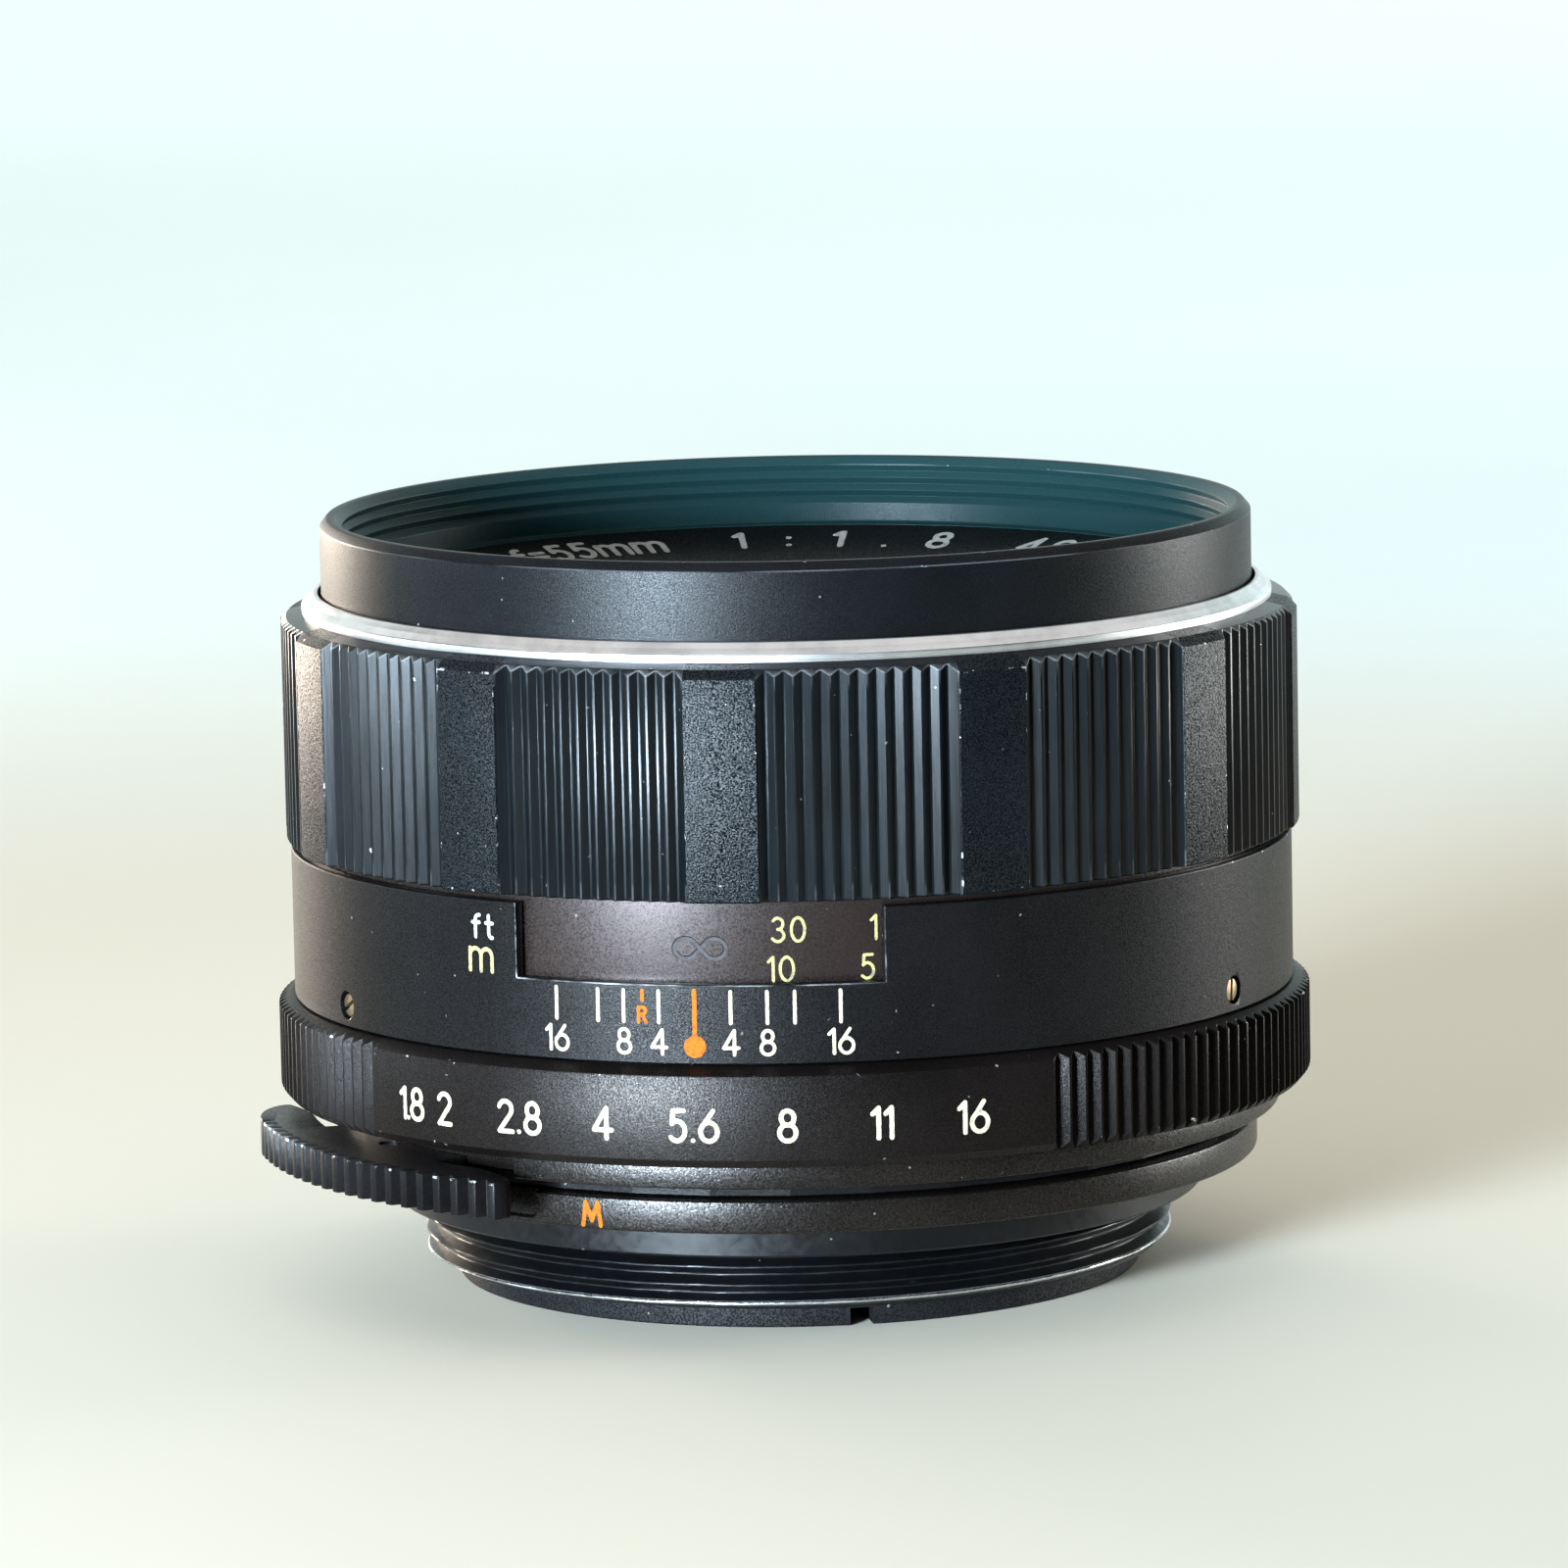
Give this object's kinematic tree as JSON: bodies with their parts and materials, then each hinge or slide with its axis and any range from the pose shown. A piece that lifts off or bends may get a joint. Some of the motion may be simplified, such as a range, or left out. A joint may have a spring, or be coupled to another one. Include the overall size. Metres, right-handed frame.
{
  "type": "prime camera lens",
  "caption": "Vintage manual-focus normal prime camera lens with a screw mount, a grooved focus ring, an aperture ring and a manual/auto switch lever.",
  "frame": {"origin": "on the optical axis, in the plane of the rear guard ring's end, which the lens stands on", "axes": "+Z along the optical axis towards the front of the lens; -Y through the index mark that the scales are read against"},
  "size_m": [0.058, 0.058, 0.0428],
  "materials": {
    "black_anodised": "black anodised, satin",
    "black_paint": "fine wrinkle black paint",
    "brown_black": "dark brown-black anodised, satin",
    "bright_aluminium": "bright turned",
    "bare_aluminium": "turned, bare",
    "brass": "turned",
    "steel": "bright",
    "glass": "polished, coated",
    "cream_fill": "engraving paint, matte",
    "white_fill": "engraving paint, matte",
    "yellow_fill": "engraving paint, matte",
    "orange_fill": "engraving paint, matte"
  },
  "bodies": {
    "lens_body": {"rear_guard_ring": "black_anodised", "mount_thread_ring": "black_anodised", "rear_plate": "black_anodised", "rear_plate_screw_1": "steel", "rear_plate_screw_2": "steel", "rear_plate_screw_3": "steel", "base_cover_ring": "black_paint", "base_body": "black_paint", "main_body": "bare_aluminium", "aperture_click_ball": "steel", "guide_key_1": "brass", "guide_key_2": "brass", "depth_scale_barrel": "black_anodised", "barrel_screw_1": "brass", "barrel_screw_2": "brass", "barrel_screw_3": "brass"},
    "aperture_control": {"aperture_ring": "black_anodised"},
    "mode_switch": {"switch_ring": "black_paint", "switch_lever": "black_paint", "switch_lever_screw": "steel"},
    "stop_down_pin": {"aperture_pin": "steel"},
    "focus_group": {"focus_ring": "black_anodised", "focus_trim_ring": "bright_aluminium", "distance_drum": "brown_black", "focus_helicoid": "brass", "focus_ring_screw_1": "steel", "focus_ring_screw_2": "steel", "focus_ring_screw_3": "steel"},
    "optical_unit": {"filter_ring": "black_anodised", "name_ring": "black_anodised", "lens_barrel": "black_anodised", "front_retaining_ring": "black_anodised", "second_retaining_ring": "black_anodised", "doublet_retaining_ring": "black_anodised", "rear_retaining_ring": "black_anodised", "rear_cell": "black_anodised", "iris_housing": "black_anodised", "inner_helicoid": "bare_aluminium", "front_element": "glass", "second_element": "glass", "third_element": "glass", "doublet_front_element": "glass", "doublet_rear_element": "glass", "rear_element": "glass"},
    "iris_drive": {"iris_drive_ring": "brass"},
    "blade_1": {"iris_blade_1": "steel"},
    "blade_2": {"iris_blade_2": "steel"},
    "blade_3": {"iris_blade_3": "steel"},
    "blade_4": {"iris_blade_4": "steel"},
    "blade_5": {"iris_blade_5": "steel"},
    "blade_6": {"iris_blade_6": "steel"}
  },
  "joints": [
    {"name": "focus_turn", "type": "hinge", "parent": "lens_body", "child": "focus_group", "pos_m": [0, 0, 0.0312], "axis": [0, 0, -1], "range_deg": [0, 284]},
    {"name": "optics_travel", "type": "slide", "parent": "lens_body", "child": "optical_unit", "axis": [0, 0, 1], "range_m": [0, 0.0091]},
    {"name": "aperture_turn", "type": "hinge", "parent": "lens_body", "child": "aperture_control", "pos_m": [0, 0, 0.0134], "axis": [0, 0, 1], "range_deg": [-30, 35]},
    {"name": "mode_switch_turn", "type": "hinge", "parent": "lens_body", "child": "mode_switch", "pos_m": [0, 0, 0.0087], "axis": [0, 0, 1], "range_deg": [0, 10]},
    {"name": "stop_down_push", "type": "slide", "parent": "lens_body", "child": "stop_down_pin", "axis": [0, 0, 1], "range_m": [0, 0.0025], "stiffness_N_per_m": 200, "springref_m": -0.001},
    {"name": "iris_drive_turn", "type": "hinge", "parent": "optical_unit", "child": "iris_drive", "pos_m": [0, 0, 0.0178], "axis": [0, 0, 1], "range_deg": [-30, 35]},
    {"name": "blade_1_swing", "type": "hinge", "parent": "optical_unit", "child": "blade_1", "pos_m": [0, -0.0172, 0.0145], "axis": [0, 0, 1], "range_deg": [-18.5, 16]},
    {"name": "blade_2_swing", "type": "hinge", "parent": "optical_unit", "child": "blade_2", "pos_m": [0.0149, -0.0086, 0.0145], "axis": [0, 0, 1], "range_deg": [-18.5, 16]},
    {"name": "blade_3_swing", "type": "hinge", "parent": "optical_unit", "child": "blade_3", "pos_m": [0.0149, 0.0086, 0.0145], "axis": [0, 0, 1], "range_deg": [-18.5, 16]},
    {"name": "blade_4_swing", "type": "hinge", "parent": "optical_unit", "child": "blade_4", "pos_m": [0, 0.0172, 0.0145], "axis": [0, 0, 1], "range_deg": [-18.5, 16]},
    {"name": "blade_5_swing", "type": "hinge", "parent": "optical_unit", "child": "blade_5", "pos_m": [-0.0149, 0.0086, 0.0145], "axis": [0, 0, 1], "range_deg": [-18.5, 16]},
    {"name": "blade_6_swing", "type": "hinge", "parent": "optical_unit", "child": "blade_6", "pos_m": [-0.0149, -0.0086, 0.0145], "axis": [0, 0, 1], "range_deg": [-18.5, 16]}
  ],
  "couplings": [
    {"joint": "optics_travel", "follows": "focus_turn", "m_per_rad": 0.0018359},
    {"joint": "iris_drive_turn", "follows": "aperture_turn", "ratio": 1},
    {"joint": "blade_1_swing", "follows": "aperture_turn", "ratio": -0.526},
    {"joint": "blade_2_swing", "follows": "aperture_turn", "ratio": -0.526},
    {"joint": "blade_3_swing", "follows": "aperture_turn", "ratio": -0.526},
    {"joint": "blade_4_swing", "follows": "aperture_turn", "ratio": -0.526},
    {"joint": "blade_5_swing", "follows": "aperture_turn", "ratio": -0.526},
    {"joint": "blade_6_swing", "follows": "aperture_turn", "ratio": -0.526}
  ]
}
